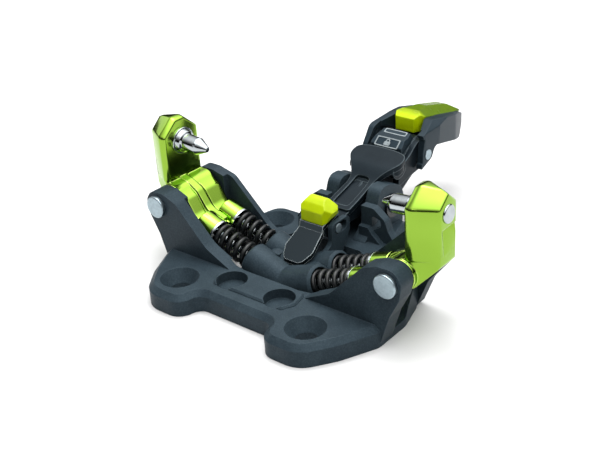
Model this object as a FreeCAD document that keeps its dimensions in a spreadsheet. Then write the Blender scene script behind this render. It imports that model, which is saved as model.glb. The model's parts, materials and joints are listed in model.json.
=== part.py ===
import FreeCAD, Part
import math
import os
import re

import Sketcher

# Toe piece of a touring ski binding, in millimetres.
# +Y points to the tip of the ski, +X to the right, +Z up. The origin is the middle of the four-screw pattern on the
# underside of the base, so z = 0 is the top of the ski. The toe pins lie on the toe line, a little in front of it.

SIZES = [
    # screws that hold the base on the ski
    ("screw_x", 21, "half the width of the screw pattern"),
    ("screw_y", 19.5, "half the length of the screw pattern"),
    ("screw_hole", 5.7, "diameter of a screw hole"),
    ("screw_head", 10.4, "diameter of the countersink at the deck"),
    ("screw_sink", 3.4, "depth of the countersink"),
    # base
    ("toe_line", 2.8, "how far the toe pins lie in front of the screw pattern's middle"),
    ("deck_top", 5.8, "height of the crossbars"),
    ("deck_bevel", 1.5, "chamfer round the top of the deck"),
    ("deck_side", 35.4, "half the width of the deck"),
    ("deck_rear", 27.9, "rear edge of the screw lobes behind the origin"),
    ("deck_bar", 21.4, "rear edge of the rear crossbar behind the origin"),
    ("deck_front", 40.5, "front edge of the tower's foot"),
    ("lobe_front", 27.6, "front edge of the front screw lobes"),
    ("rail_top", 2.1, "height of the side rails below the jaws"),
    ("rail_inside", 30.8, "half the width of the window in the base"),
    ("window_rear", 7.4, "rear edge of the window behind the origin"),
    ("window_front", 17.4, "front edge of the window"),
    ("dimple_x", 7.95, "place of a blind recess from the middle"),
    ("dimple_y", 13.5, "place of a blind recess behind the origin"),
    ("dimple_d", 8.2, "diameter of a blind recess"),
    ("dimple_depth", 2, "depth of a blind recess"),
    # ears
    ("pivot_x", 37.5, "jaw pivot from the middle"),
    ("pivot_z", 17.8, "jaw pivot above the ski"),
    ("ear_boss", 4.1, "wall of an ear over the pivot's centre"),
    ("ear_rear", 12.3, "rear face of the rear ears behind the toe line"),
    ("ear_rear_inner", 7.2, "inner face of the rear ears behind the toe line"),
    ("ear_rear_web", 8.6, "inner face of the thinned rear ears"),
    ("ear_front", 10.2, "front face of the front ears before the toe line"),
    ("ear_front_inner", 6.9, "inner face of the front ears"),
    ("ear_front_web", 8.6, "inner face of the thinned front ears"),
    # tower and lever pivot
    ("lever_y", 34.3, "lever pivot before the origin"),
    ("lever_z", 12, "lever pivot above the ski"),
    ("lobe_inner", 4.8, "inner face of a tower lobe"),
    ("lobe_outer", 8.8, "outer face of a tower lobe"),
    ("lobe_radius", 6, "radius of a tower lobe round the pivot"),
    # pins
    ("pivot_pin", 4, "diameter of the jaw pivot pins"),
    ("pivot_head", 6.2, "diameter of their heads"),
    ("pivot_head_h", 1.2, "height of their heads"),
    ("pin_end", 1.5, "length of a pin behind its ring groove"),
    ("clip_wall", 1.3, "how far a retaining ring stands out of its pin"),
    ("clip_h", 0.8, "thickness of a retaining ring"),
    ("lever_pin", 4, "diameter of the lever pivot pin"),
    ("handle_pin", 3, "diameter of the handle pin"),
    ("lift_pin", 2.6, "diameter of the lift pin"),
    ("running", 0.05, "radial clearance of a bore on its pin"),
    ("side_gap", 0.3, "clearance beside a moving piece"),
    # jaws
    ("jaw_half", 6.6, "half the depth of a jaw along the ski"),
    ("jaw_inner", 38.3, "inner face of the jaw plate"),
    ("jaw_outer", 46.2, "outer face of the jaw plate"),
    ("jaw_outer_half", 3.5, "half the depth of the outer face"),
    ("jaw_top", 39.5, "height of the jaw's crown at its inner face"),
    ("jaw_low", 20.5, "lower end of the outer face"),
    ("hub_radius", 4.1, "radius of the jaw hub"),
    ("jaw_rim", 1.1, "bevel round the inner face of the jaw plate"),
    ("jaw_facet", 4.1, "width of the crown's big facets"),
    ("lane_gap", 0.9, "slot between two lanes of the jaw arm"),
    # springs
    ("spring_y", 4.3, "spring axis from the toe line"),
    ("spring_tilt", 19.5, "slope of a spring, down to the middle, in degrees"),
    ("rim_x", 23.5, "middle of the spring seat on the jaw"),
    ("rim_z", 10.2, "its height"),
    ("cup_radius", 3.8, "radius of the jaw's spring boss"),
    ("cup_length", 5.3, "length of that boss"),
    ("washer_h", 0.6, "thickness of a seat washer"),
    ("spring_d", 7.2, "outer diameter of a spring"),
    ("wire_d", 1.35, "wire of a spring"),
    ("spring_length", 15.4, "length of a spring at rest"),
    ("spring_turns", 4.9, "turns of a spring"),
    ("rod_d", 2.4, "diameter of a guide rod"),
    ("rod_reach", 13, "how far a rod reaches out of the jaw"),
    # toe pins
    ("toe_reach", 10.1, "distance from a toe pin's tip to its seat in the jaw"),
    ("toe_tip_z", 31.8, "its height"),
    ("toe_tilt", 4.6, "slope of a toe pin in degrees"),
    ("toe_d", 4.8, "diameter of a toe pin"),
    ("toe_cone", 3.3, "length of its cone"),
    ("toe_flange_d", 7.6, "diameter of its flange"),
    ("toe_flange_h", 1, "thickness of its flange"),
    ("toe_rivet_d", 4.6, "diameter of the riveted end"),
    # spring block
    ("socket_radius", 4.7, "outer radius of a spring socket"),
    ("socket_wall", 0.8, "wall of a socket past the clearance"),
    ("socket_end", 11.7, "end of a socket from the middle"),
    ("block_floor", 0.8, "underside of the block above the ski"),
    ("lug_inner", 4.3, "inner face of the block's lugs"),
    ("lug_outer", 5.7, "outer face of the block's lugs"),
    ("lift_y", 14.2, "lift pin before the origin"),
    ("lift_z", 12.9, "lift pin above the ski"),
    ("slot_travel", 2, "how far the lift pin runs along its slot"),
    ("slot_play", 0.22, "clearance of the lift pin in its slot"),
    # lever
    ("arm_half", 3.75, "half the width of the lever bar"),
    ("plate_half", 8.2, "half the width of the lever plate"),
    ("nose_half", 5.2, "half the width of the lever nose"),
    ("brace_outer", 6.4, "outer face of the lever braces"),
    ("tongue_tip_y", 0.8, "tip of the tongue"),
    ("tongue_tip_z", 7.5, "its height"),
    ("tongue_h", 1.2, "thickness of the tongue"),
    ("tongue_half", 4.6, "half the width of the tongue"),
    ("stop_y", 10, "near edge of the boot stop"),
    ("stop_z", 14.65, "its height"),
    ("stop_depth", 7.1, "depth of the boot stop"),
    ("stop_h", 6.5, "height of the boot stop"),
    ("stop_half", 5.3, "half the width of the boot stop"),
    ("bush_wall", 0.7, "wall of a lever bush"),
    # handle
    ("handle_y", 52.3, "handle pin before the origin"),
    ("handle_z", 20.6, "handle pin above the ski"),
    ("cheek_inner", 7.2, "inner face of a handle cheek"),
    ("cheek_outer", 9.2, "outer face of a handle cheek"),
    ("handle_tip", 79.8, "tip of the handle"),
    ("handle_top", 29.2, "height of the handle's edge beside its insert"),
    ("nose_radius", 4.6, "radius of the lever nose round the handle pin"),
    ("nose_gap", 0.6, "clearance between nose and handle"),
    ("insert_half", 4.75, "half the width of the handle insert"),
    ("insert_rise", 1.5, "how far the insert stands above the handle"),
]
NAMES = {name for name, number, note in SIZES}

doc = FreeCAD.newDocument("ToePiece")
sheet = doc.addObject("Spreadsheet::Sheet", "Sizes")
for row, (name, number, note) in enumerate(SIZES, start=1):
    sheet.set(f"A{row}", name)
    sheet.set(f"B{row}", str(number))
    sheet.set(f"C{row}", note)
    sheet.setAlias(f"B{row}", name)
doc.recompute()


def bound(text):
    """An expression in size names, with each name pointing at its cell of the sheet."""
    return re.sub(r"[a-z]\w*", lambda word: "Sizes." + word[0] if word[0] in NAMES else word[0], str(text))


def worth(text):
    """The number that such an expression has now."""
    return float(sheet.evalExpression(bound(text)))


TURN = {
    "XY": FreeCAD.Rotation(),
    "XZ": FreeCAD.Rotation(FreeCAD.Vector(1, 0, 0), 90),
    "YZ": FreeCAD.Rotation(FreeCAD.Vector(1, 1, 1), 120),
}
HEIGHT = {"XY": "z", "XZ": "y", "YZ": "x"}


def mirrored(half):
    """A closed outline from its corners with positive x: the same corners follow with negative x."""
    other = [(f"-({corner[0]})",) + tuple(corner[1:]) for corner in reversed(half)]
    return list(half) + other


def draw(sketch, corners):
    """Closed outline in a sketch. A corner is (x, y) or (x, y, radius), each an expression in size names."""
    flat = FreeCAD.Vector(0, 0, 1)
    points = [FreeCAD.Vector(worth(corner[0]), worth(corner[1]), 0) for corner in corners]
    count = len(points)
    radii = [worth(corner[2]) if len(corner) > 2 else 0 for corner in corners]
    starts, ends = list(points), list(points)
    for i, radius in enumerate(radii):
        if radius:
            back = (points[i - 1] - points[i]).normalize()
            ahead = (points[(i + 1) % count] - points[i]).normalize()
            cut = radius / math.tan(back.getAngle(ahead) / 2)
            ends[i] = points[i] + back * cut
            starts[i] = points[i] + ahead * cut
    for i in range(count):
        sketch.addGeometry(Part.LineSegment(starts[i], ends[(i + 1) % count]))
    for i, corner in enumerate(corners):
        line_in, line_out = (i - 1) % count, i
        if radii[i]:
            middle = (starts[i] + ends[i]) / 2
            inward = (middle - points[i]).normalize()
            half_chord = (starts[i] - ends[i]).Length / 2
            centre = middle + inward * math.sqrt(radii[i] ** 2 - half_chord**2)
            first, last = ends[i] - centre, starts[i] - centre
            turns_left = first.cross(last).z > 0
            if not turns_left:
                first, last = last, first
            low, high = math.atan2(first.y, first.x), math.atan2(last.y, last.x)
            arc = Part.ArcOfCircle(Part.Circle(centre, flat, radii[i]), low, high if high > low else high + 2 * math.pi)
            bend = sketch.addGeometry(arc)
            tip = sketch.addGeometry(Part.Point(points[i]), True)
            sketch.addConstraint(Sketcher.Constraint("Tangent", line_in, 2, bend, 1 if turns_left else 2))
            sketch.addConstraint(Sketcher.Constraint("Tangent", line_out, 1, bend, 2 if turns_left else 1))
            sketch.addConstraint(Sketcher.Constraint("PointOnObject", tip, 1, line_in))
            sketch.addConstraint(Sketcher.Constraint("PointOnObject", tip, 1, line_out))
            place = sketch.addConstraint(Sketcher.Constraint("Radius", bend, radii[i]))
            sketch.setExpression(f"Constraints[{place}]", bound(corner[2]))
            held = tip
        else:
            sketch.addConstraint(Sketcher.Constraint("Coincident", line_in, 2, line_out, 1))
            held = line_out
        for kind, text, number in (("DistanceX", corner[0], points[i].x), ("DistanceY", corner[1], points[i].y)):
            place = sketch.addConstraint(Sketcher.Constraint(kind, -1, 1, held, 1, number))
            sketch.setExpression(f"Constraints[{place}]", bound(text))
    return sketch


def prism(name, plane, low, high, corners):
    """Outline drawn in a plane and drawn out from low to high along the plane's normal axis."""
    sketch = doc.addObject("Sketcher::SketchObject", name + "_outline")
    sketch.Placement = FreeCAD.Placement(FreeCAD.Vector(), TURN[plane])
    level = high if plane == "XZ" else low
    sketch.setExpression("Placement.Base." + HEIGHT[plane], bound(level))
    draw(sketch, corners)
    solid = doc.addObject("Part::Extrusion", name)
    solid.Base = sketch
    solid.DirMode = "Normal"
    solid.Solid = True
    solid.setExpression("LengthFwd", bound(f"({high})-({low})"))
    return solid


def rod(name, axis, start, radius, length, tilt="0"):
    """Cylinder from a start point along X, Y or Z. A rod along X may rise by a tilt in degrees."""
    solid = doc.addObject("Part::Cylinder", name)
    solid.setExpression("Radius", bound(radius))
    solid.setExpression("Height", bound(length))
    turn = {
        "X": FreeCAD.Rotation(FreeCAD.Vector(0, 1, 0), 90),
        "Y": FreeCAD.Rotation(FreeCAD.Vector(1, 0, 0), -90),
        "Z": FreeCAD.Rotation(),
    }
    solid.Placement = FreeCAD.Placement(FreeCAD.Vector(), turn[axis])
    if axis == "X":
        solid.setExpression("Placement.Rotation.Angle", bound(f"90-({tilt})"))
    for letter, text in zip("xyz", start):
        solid.setExpression("Placement.Base." + letter, bound(text))
    return solid


def block(name, low, high):
    """Box between two corners."""
    solid = doc.addObject("Part::Box", name)
    for size, letter, a, b in zip(("Length", "Width", "Height"), "xyz", low, high):
        solid.setExpression(size, bound(f"({b})-({a})"))
        solid.setExpression("Placement.Base." + letter, bound(a))
    return solid


def join(name, pieces):
    solid = doc.addObject("Part::MultiFuse", name)
    solid.Shapes = pieces
    solid.Refine = True
    return solid


def shared(name, pieces):
    solid = doc.addObject("Part::MultiCommon", name)
    solid.Shapes = pieces
    solid.Refine = True
    return solid


def cut(name, base, tool):
    solid = doc.addObject("Part::Cut", name)
    solid.Base = base
    solid.Tool = tool
    solid.Refine = True
    return solid


def mirror(name, source, normal=(1, 0, 0)):
    solid = doc.addObject("Part::Mirroring", name)
    solid.Source = source
    solid.Normal = FreeCAD.Vector(*normal)
    return solid


def chamfer(name, base, size, wanted):
    """Chamfer the edges of a solid for which wanted(edge) holds."""
    doc.recompute()
    solid = doc.addObject("Part::Chamfer", name)
    solid.Base = base
    width = worth(size)
    solid.Edges = [(i, width, width) for i, edge in enumerate(base.Shape.Edges, start=1) if wanted(edge)]
    return solid


def plane_of(body, role):
    return next(feature for feature in body.Origin.OriginFeatures if feature.Role == role)


def body_sketch(body, name, role, corners, offset="0"):
    """Outline in one of a body's own origin planes, moved along its normal by offset."""
    sketch = body.newObject("Sketcher::SketchObject", name)
    sketch.AttachmentSupport = [(plane_of(body, role), "")]
    sketch.MapMode = "FlatFace"
    sketch.setExpression("AttachmentOffset.Base.z", bound(offset))
    return draw(sketch, corners)


def turned(name, profile):
    """Body revolved round its own X axis from a half profile of (along, radius) corners."""
    body = doc.addObject("PartDesign::Body", name)
    sketch = body_sketch(body, name + "_profile", "XY_Plane", profile)
    spun = body.newObject("PartDesign::Revolution", name + "_turned")
    spun.Profile = sketch
    spun.ReferenceAxis = (sketch, ["H_Axis"])
    spun.Angle = 360
    return body


def place(piece, position, axis=(0, 0, 1), angle="0"):
    """Put a piece at a position, turned about an axis by an angle in degrees."""
    piece.Placement = FreeCAD.Placement(FreeCAD.Vector(), FreeCAD.Rotation(FreeCAD.Vector(*axis), 1))
    piece.setExpression("Placement.Rotation.Angle", bound(angle))
    for letter, text in zip("xyz", position):
        piece.setExpression("Placement.Base." + letter, bound(text))
    return piece


parts = {}


def keep(label, piece):
    """Name a finished sub-part: its label names the node."""
    piece.Label = label
    parts[label] = piece
    return piece


def keep_pair(label, right):
    """Keep a right-hand sub-part and its mirror image on the left."""
    keep(label.format(side="right"), right)
    return keep(label.format(side="left"), mirror(right.Name + "_mirrored", right))


# ---------------------------------------------------------------- base frame


def base_frame():
    """One casting: two crossbars with screw lobes, side rails, four ears, the lever tower and its ribs."""
    outline = mirrored([
        ("12.2", "-deck_bar", "3"),
        ("13.4", "-deck_rear", "4.5"),
        ("screw_x+3.9", "-deck_rear", "7.5"),
        ("30.8", "-19.6", "12"),
        ("deck_side", "-10", "4"),
        ("deck_side", "1.2", "6"),
        ("33", "toe_line+7", "6"),
        ("rail_inside-1.2", "15.2", "4"),
        ("screw_x+5.4", "lobe_front", "5"),
        ("screw_x-6.4", "lobe_front", "3"),
        ("lobe_outer+2.2", "deck_front", "5"),
    ])
    deck = prism("deck", "XY", "0", "deck_top", outline)
    top = worth("deck_top")
    bevelled = chamfer(
        "deck_bevelled", deck, "deck_bevel", lambda edge: all(abs(v.Z - top) < 1e-6 for v in edge.Vertexes)
    )
    window = prism("window", "XY", "-1", "deck_top+1", mirrored([
        ("9", "-window_rear", "2"),
        ("16", "-(window_rear-1.3)"),
        ("20.5", "toe_line-ear_rear_inner"),
        ("rail_inside", "toe_line-ear_rear_inner", "2"),
        ("rail_inside", "toe_line+ear_front_inner", "2"),
        ("20.5", "toe_line+ear_front_inner"),
        ("18.5", "toe_line+9"),
        ("lug_outer+7.2", "toe_line+9.4"),
        ("lug_outer+5.2", "window_front", "2"),
    ]))
    ear_outline = [
        ("12.4", "2"),
        ("12.6", "deck_top"),
        ("20.6", "9.8", "6"),
        ("30.6", "20.2", "3"),
        ("pivot_x-2.6", "pivot_z+ear_boss", "3"),
        ("pivot_x+2", "pivot_z+ear_boss", "3"),
        ("pivot_x+4.2", "pivot_z+1.2", "3"),
        ("pivot_x+3.4", "pivot_z-3.2", "2.5"),
        ("pivot_x+0.6", "9.2", "5"),
        ("deck_side", "1"),
    ]
    front_outline = ear_outline[:2] + [("17.4", "9", "4"), ("29", "20.4", "3")] + ear_outline[4:8]
    front_outline += [("pivot_x-1", "9", "5"), ("33.2", "1")]
    ears = [
        prism("rear_ear_right", "XZ", "toe_line-ear_rear", "toe_line-ear_rear_inner", ear_outline),
        prism("front_ear_right", "XZ", "toe_line+ear_front_inner", "toe_line+ear_front", front_outline),
    ]
    reliefs = [
        block("rear_relief", ("11", "toe_line-ear_rear_web", "deck_top"),
              ("rail_inside", "toe_line-ear_rear_inner+1", "30")),
        block("front_relief", ("11", "toe_line+ear_front_inner-1", "deck_top"),
              ("rail_inside", "toe_line+ear_front_web", "30")),
    ]
    ears_right = cut("ears_right", join("ears_right_full", ears), join("reliefs", reliefs))
    rise_side = prism("rail_rise_side", "YZ", "rail_inside", "deck_side+1", [
        ("1.6", "1"),
        ("1.6", "rail_top"),
        ("toe_line+ear_front_inner", "rail_top+8.2"),
        ("toe_line+ear_front_inner+1", "rail_top+8.2"),
        ("toe_line+ear_front_inner+1", "1"),
    ])
    rise_plan = prism("rail_rise_plan", "XY", "0", "20", [
        ("rail_inside+1", "0"),
        ("deck_side-0.2", "0"),
        ("deck_side-0.2", "1.2", "6"),
        ("33.2", "toe_line+ear_front_inner+0.4"),
        ("33.2", "toe_line+ear_front_inner+2"),
        ("rail_inside+1", "toe_line+ear_front_inner+2"),
    ])
    rise = shared("rail_rise", [rise_side, rise_plan])
    band = prism("dimple_band", "XY", "deck_top-2", "deck_top+0.7", mirrored([
        ("11.4", "-(dimple_y+3.6)", "1.5"),
        ("13.2", "-dimple_y", "2"),
        ("12", "-(window_rear+0.8)", "1.5"),
    ]))
    raised = chamfer(
        "dimple_band_bevelled", band, "0.5", lambda edge: all(abs(v.Z - top - 0.7) < 1e-6 for v in edge.Vertexes)
    )

    lobe = prism("tower_lobe_right", "YZ", "lobe_inner", "lobe_outer", [
        ("21", "0"),
        ("21", "deck_top", "2"),
        ("25.6", "9.6", "4"),
        ("29.3", "lever_z+6.9", "3"),
        ("33.6", "lever_z+6.7", "4"),
        ("lever_y+5", "lever_z+3.4", "4"),
        ("lever_y+lobe_radius", "lever_z-1.5", "4"),
        ("deck_front-1.4", "2"),
        ("deck_front-1.4", "0"),
    ])
    crown = rod("tower_crown_right", "X", ("lobe_inner", "lever_y", "lever_z"), "lobe_radius", "lobe_outer-lobe_inner")

    gusset = prism("gusset", "XZ", "lever_y-10", "lever_y-7.6", [
        ("lobe_inner+1", "3"),
        ("lobe_inner+1", "lever_z+3.4"),
        ("lobe_outer+1", "lever_z+3.4", "1"),
        ("lobe_outer+4.6", "lever_z+0.6", "2"),
        ("lobe_outer+5.6", "lever_z-2.4", "3"),
        ("lobe_outer+8.4", "deck_top", "1"),
        ("lobe_outer+8.4", "3"),
    ])
    gusset_hole = prism("gusset_hole", "XZ", "lever_y-15", "lever_y", [
        ("lobe_outer+0.2", "lever_z-3.4", "0.5"),
        ("lobe_outer+0.6", "lever_z+1.2", "0.6"),
        ("lobe_outer+3.2", "lever_z+0.4", "0.6"),
        ("lobe_outer+3.4", "lever_z-1.6", "0.6"),
    ])
    buttress = prism("buttress", "XZ", "lever_y-11.5", "lever_y-4.6", [
        ("lobe_inner+1", "3"),
        ("lobe_inner+1", "lever_z-2"),
        ("lobe_outer", "lever_z-2"),
        ("lobe_outer+1.4", "8.2", "1.5"),
        ("lobe_outer+4.6", "deck_top-0.4"),
        ("lobe_outer+4.6", "3"),
    ])
    gusset_open = cut("gusset_open", gusset, gusset_hole)

    right = join("upright_right", [ears_right, rise, lobe, crown, gusset_open, buttress])
    whole = join("frame_whole", [bevelled, raised, right, mirror("upright_left", right)])

    holes = [window]
    for side, sign in (("right", ""), ("left", "-")):
        for end, along in (("rear", "-screw_y"), ("front", "screw_y")):
            x = f"{sign}screw_x"
            holes.append(rod(f"hole_{side}_{end}", "Z", (x, along, "-1"), "screw_hole/2", "deck_top+2"))
            sink = doc.addObject("Part::Cone", f"sink_{side}_{end}")
            sink.setExpression("Radius1", bound("screw_hole/2"))
            sink.setExpression("Radius2", bound("screw_head/2"))
            sink.setExpression("Height", bound("screw_sink"))
            for letter, text in zip("xyz", (x, along, "deck_top-screw_sink")):
                sink.setExpression("Placement.Base." + letter, bound(text))
            holes.append(sink)
            holes.append(rod(f"head_{side}_{end}", "Z", (x, along, "deck_top-0.01"), "screw_head/2", "14"))
        holes.append(rod(f"dimple_{side}", "Z", (f"{sign}dimple_x", "-dimple_y", "deck_top-dimple_depth"),
                         "dimple_d/2", "9"))
        holes.append(rod(f"pin_bore_{side}", "Y", (f"{sign}pivot_x", "toe_line-ear_rear-1", "pivot_z"),
                         "pivot_pin/2", "ear_rear+ear_front+2"))
    holes.append(rod("lever_bore", "X", ("-20", "lever_y", "lever_z"), "lever_pin/2", "40"))
    for side, low, high in (("right", "rail_inside-1", "60"), ("left", "-60", "-(rail_inside-1)")):
        holes.append(prism(f"rail_cut_{side}", "YZ", low, high, [
            ("toe_line-ear_rear_inner", "rail_top"),
            ("1.2", "rail_top", "3"),
            ("toe_line+ear_front_inner", "rail_top+8"),
            ("toe_line+ear_front_inner", "30"),
            ("toe_line-ear_rear_inner", "30"),
        ]))
    holes.append(block("lever_room", ("-lobe_inner", "17", "deck_top"), ("lobe_inner", "60", "40")))
    keep("base_frame", cut("base_frame", whole, join("base_holes", holes)))


def pivot_pins():
    """Headed pins of the jaws, each held in front by a retaining ring."""
    front = "ear_rear+ear_front+clip_h+pin_end"
    pin = turned("pivot_pin_turned", [
        ("-pivot_head_h", "0"),
        ("-pivot_head_h", "pivot_head/2", "0.35"),
        ("0", "pivot_head/2"),
        ("0", "pivot_pin/2"),
        (front, "pivot_pin/2", "0.4"),
        (front, "0"),
    ])
    place(pin, ("pivot_x", "toe_line-ear_rear", "pivot_z"), (0, 0, 1), "90")
    keep_pair("jaw_pivot_pin_{side}", pin)
    ring = cut("pivot_ring", rod("pivot_ring_outer", "Y", ("pivot_x", "toe_line+ear_front", "pivot_z"),
                                 "pivot_pin/2+clip_wall", "clip_h"),
               rod("pivot_ring_hole", "Y", ("pivot_x", "toe_line+ear_front-1", "pivot_z"), "pivot_pin/2", "clip_h+2"))
    keep_pair("pivot_clip_{side}", ring)


def tower_pin():
    """Plain pin of the lever, with a ring at each end."""
    reach = "lobe_outer+clip_h+0.6"
    keep("tower_pin", rod("tower_pin", "X", (f"-({reach})", "lever_y", "lever_z"), "lever_pin/2", f"2*({reach})"))
    ring = cut("tower_ring", rod("tower_ring_outer", "X", ("lobe_outer", "lever_y", "lever_z"),
                                 "lever_pin/2+clip_wall", "clip_h"),
               rod("tower_ring_hole", "X", ("lobe_outer-1", "lever_y", "lever_z"), "lever_pin/2", "clip_h+2"))
    both = doc.addObject("Part::Compound", "tower_rings")
    both.Links = [ring, mirror("tower_ring_left", ring)]
    keep("tower_clips", both)


# ---------------------------------------------------------------- jaws


def along_spring(distance):
    """Point on a right-hand spring axis at a distance from the jaw's seat towards the middle: x and z."""
    return f"rim_x-({distance})*cos(spring_tilt)", f"rim_z-({distance})*sin(spring_tilt)"


# Distance from a toe pin's tip to the shoulder of its riveted end, just inside the jaw's outer face.
RIVET = "toe_reach-0.35+(jaw_outer-jaw_inner)/cos(toe_tilt)-0.3"


def along_toe_pin(distance):
    """Point on a right-hand toe pin's axis at a distance from its tip: x and z."""
    return f"jaw_inner+({distance}-toe_reach+0.35)*cos(toe_tilt)", f"toe_tip_z+({distance})*sin(toe_tilt)"


def jaw():
    """Jaw with a bevelled plate for the toe pin, a hub, and an arm of ridged lanes that ends in the spring bosses."""
    side = prism("jaw_side", "XZ", "toe_line-jaw_half", "toe_line+jaw_half", [
        ("jaw_inner", "pivot_z+3"),
        ("jaw_inner", "jaw_top-jaw_rim-0.3", "0.4"),
        ("jaw_inner+jaw_rim", "jaw_top", "0.5"),
        ("jaw_outer", "jaw_top-1.7", "1.2"),
        ("jaw_outer", "jaw_low", "2"),
        ("jaw_inner+2.5", "14.8", "1.5"),
        ("pivot_x", "pivot_z-hub_radius+0.6"),
        ("pivot_x-2", "pivot_z"),
    ])
    plan = prism("jaw_plan", "XY", "10", "jaw_top+2", [
        ("pivot_x-4", "toe_line-jaw_half+jaw_rim"),
        ("jaw_inner", "toe_line-jaw_half+jaw_rim"),
        ("jaw_inner+jaw_rim", "toe_line-jaw_half", "1"),
        ("jaw_outer+0.01", "toe_line-jaw_outer_half", "1"),
        ("jaw_outer+0.01", "toe_line+jaw_outer_half", "1"),
        ("jaw_inner+jaw_rim", "toe_line+jaw_half", "1"),
        ("jaw_inner", "toe_line+jaw_half-jaw_rim"),
        ("pivot_x-4", "toe_line+jaw_half-jaw_rim"),
    ])
    facets = []
    for name, sign in (("rear", -1), ("front", 1)):
        turn = FreeCAD.Rotation(FreeCAD.Vector(0, 0, 1), FreeCAD.Vector(0.4, sign * 0.55, 0.73))
        centre = turn.multVec(FreeCAD.Vector(15, 15, 0))
        facet = doc.addObject("Part::Box", f"jaw_facet_{name}")
        facet.Length, facet.Width, facet.Height = 30, 30, 12
        facet.Placement = FreeCAD.Placement(FreeCAD.Vector(), turn)
        facet.setExpression("Placement.Base.x", bound(f"jaw_inner+jaw_rim-({centre.x})"))
        facet.setExpression("Placement.Base.y", bound(f"toe_line+{sign}*(jaw_half-jaw_facet)-({centre.y})"))
        facet.setExpression("Placement.Base.z", bound(f"jaw_top-({centre.z})"))
        facets.append(facet)
    plate = cut("jaw_plate", cut("jaw_plate_half_cut", shared("jaw_plate_full", [side, plan]), facets[0]), facets[1])
    hub = rod("jaw_hub", "Y", ("pivot_x", "toe_line-ear_rear_inner+side_gap", "pivot_z"), "hub_radius",
              "ear_rear_inner+ear_front_inner-2*side_gap")
    lanes = []
    for name, low, high, proud in (
        ("rear", "toe_line-jaw_half+0.3", "toe_line-2.3", "0"),
        ("middle", "toe_line-2.3", "toe_line", "1.1"),
        ("groove", "toe_line-0.1", "toe_line+lane_gap+0.1", "-0.8"),
        ("front", "toe_line+lane_gap", "toe_line+jaw_half-0.3", "0.1"),
    ):
        lanes.append(prism(f"{name}_lane", "XZ", low, high, [
            ("jaw_inner+1", "22.4+0.3*({})".format(proud), "0.3"),
            ("35.8", "21.5+0.3*({})".format(proud), "4"),
            ("32.2", "18.8+({})".format(proud), "3"),
            ("29.2-0.3*({})".format(proud), "13.9+({})".format(proud), "4"),
            ("rim_x+0.3", "12+({})".format(proud)),
            ("rim_x+1.2", "7.8"),
            ("29.2", "9.2", "5"),
            ("33.6", "14", "4"),
            ("pivot_x", "pivot_z-3"),
            ("jaw_inner+1", "pivot_z"),
        ]))
    bosses = []
    for name, sign in (("rear", "-"), ("front", "+")):
        bosses.append(rod(f"spring_boss_{name}", "X", ("rim_x", f"toe_line{sign}spring_y", "rim_z"), "cup_radius",
                          "cup_length", "spring_tilt"))
    body = join("jaw_body", [plate, hub] + lanes + bosses)

    tools = [rod("jaw_bore", "Y", ("pivot_x", "toe_line-20", "pivot_z"), "pivot_pin/2+running", "40")]
    for name, start, radius, length in (
        ("toe_bore", "toe_reach-1", "toe_d/2", "12"),
        ("toe_spotface", "toe_reach-2", "toe_flange_d/2+0.3", "2"),
        ("toe_rivet_seat", RIVET, "toe_rivet_d/2+0.25", "3"),
    ):
        ax, az = along_toe_pin(start)
        tools.append(rod(name, "X", (ax, "toe_line", az), radius, length, "toe_tilt"))
    tools.append(prism("jaw_pocket", "YZ", "jaw_outer-1", "jaw_outer+1", [
        ("toe_line-1.2", "jaw_low+1.9", "1"),
        ("toe_line-1.7", "toe_tip_z-2.6", "0.7"),
        ("toe_line+1.7", "toe_tip_z-2.6", "0.7"),
        ("toe_line+1.2", "jaw_low+1.9", "1"),
    ]))
    for name, sign in (("rear", "-"), ("front", "+")):
        tools.append(rod(f"rod_bore_{name}", "X", ("rim_x-2", f"toe_line{sign}spring_y", "rim_z-2*tan(spring_tilt)"),
                         "rod_d/2", "cup_length", "spring_tilt"))
    keep_pair("jaw_{side}", cut("jaw_right_solid", body, join("jaw_tools", tools)))


def toe_pin():
    """Steel toe pin: cone with three flutes, shank, domed shoulder, flange, and a riveted outer end."""
    shank = "toe_d/2"
    flange = "toe_flange_d/2"
    back = RIVET
    pin = turned("toe_pin_turned", [
        ("0", "0"),
        ("0", "0.7", "0.3"),
        ("toe_cone", shank, "0.5"),
        ("toe_reach-toe_flange_h-1.6", shank),
        ("toe_reach-toe_flange_h-1.2", "toe_d/2+0.6", "0.3"),
        ("toe_reach-toe_flange_h", "toe_d/2+0.9"),
        ("toe_reach-toe_flange_h", flange, "0.2"),
        ("toe_reach", flange),
        ("toe_reach", shank),
        (back, shank),
        (back, "toe_rivet_d/2"),
        (f"{back}+0.8", "toe_rivet_d/2", "0.4"),
        (f"{back}+0.8", "0"),
    ])
    flutes = []
    for number in range(3):
        flute = doc.addObject("Part::Cylinder", f"flute_{number}")
        flute.setExpression("Radius", bound("toe_d*0.42"))
        flute.setExpression("Height", bound("toe_cone+1.4"))
        spin = FreeCAD.Rotation(FreeCAD.Vector(1, 0, 0), 120 * number + 60)
        slope = FreeCAD.Rotation(FreeCAD.Vector(0, 1, 0), 90 - 16)
        flute.Placement = FreeCAD.Placement(spin.multVec(FreeCAD.Vector(-0.6, 0, worth("toe_d*0.68"))), spin * slope)
        flutes.append(flute)
    fluted = cut("toe_pin_fluted", pin, join("flutes", flutes))
    tip_x, tip_z = along_toe_pin("0")
    place(fluted, (tip_x, "toe_line", tip_z), (0, 1, 0), "-toe_tilt")
    keep_pair("toe_pin_{side}", fluted)


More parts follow.
